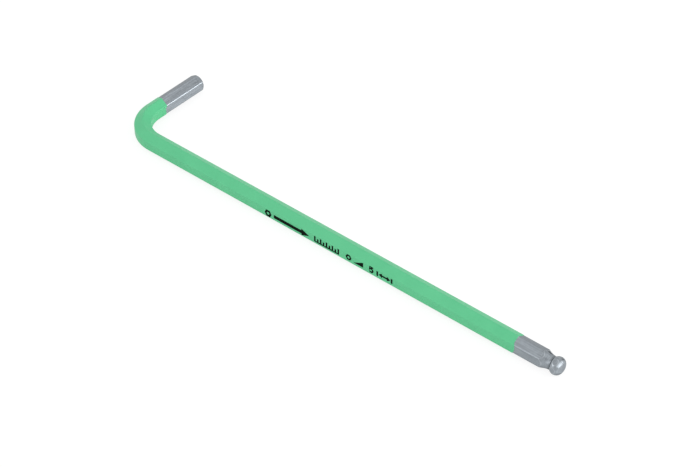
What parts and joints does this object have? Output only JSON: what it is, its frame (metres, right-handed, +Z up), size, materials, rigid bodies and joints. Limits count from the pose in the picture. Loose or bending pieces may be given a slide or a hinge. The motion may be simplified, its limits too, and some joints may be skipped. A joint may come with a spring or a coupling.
{
  "type": "hex key",
  "caption": "L-shaped six-sided steel key with a ball end on its long arm, a flat end on its short arm and a green coat over the rest.",
  "frame": {"origin": "on the bench, under the middle of the key's box", "axes": "+X along the long arm towards its ball end, +Y to the side that the short arm points to, +Z up from the bench"},
  "size_m": [0.1652, 0.0332, 0.0059],
  "materials": {
    "bare_steel": "satin, drawn lengthways",
    "green_coat": "satin sprayed coat"
  },
  "bodies": {
    "root": {"hex_key": "bare_steel", "colour_coat": "green_coat"}
  },
  "joints": []
}
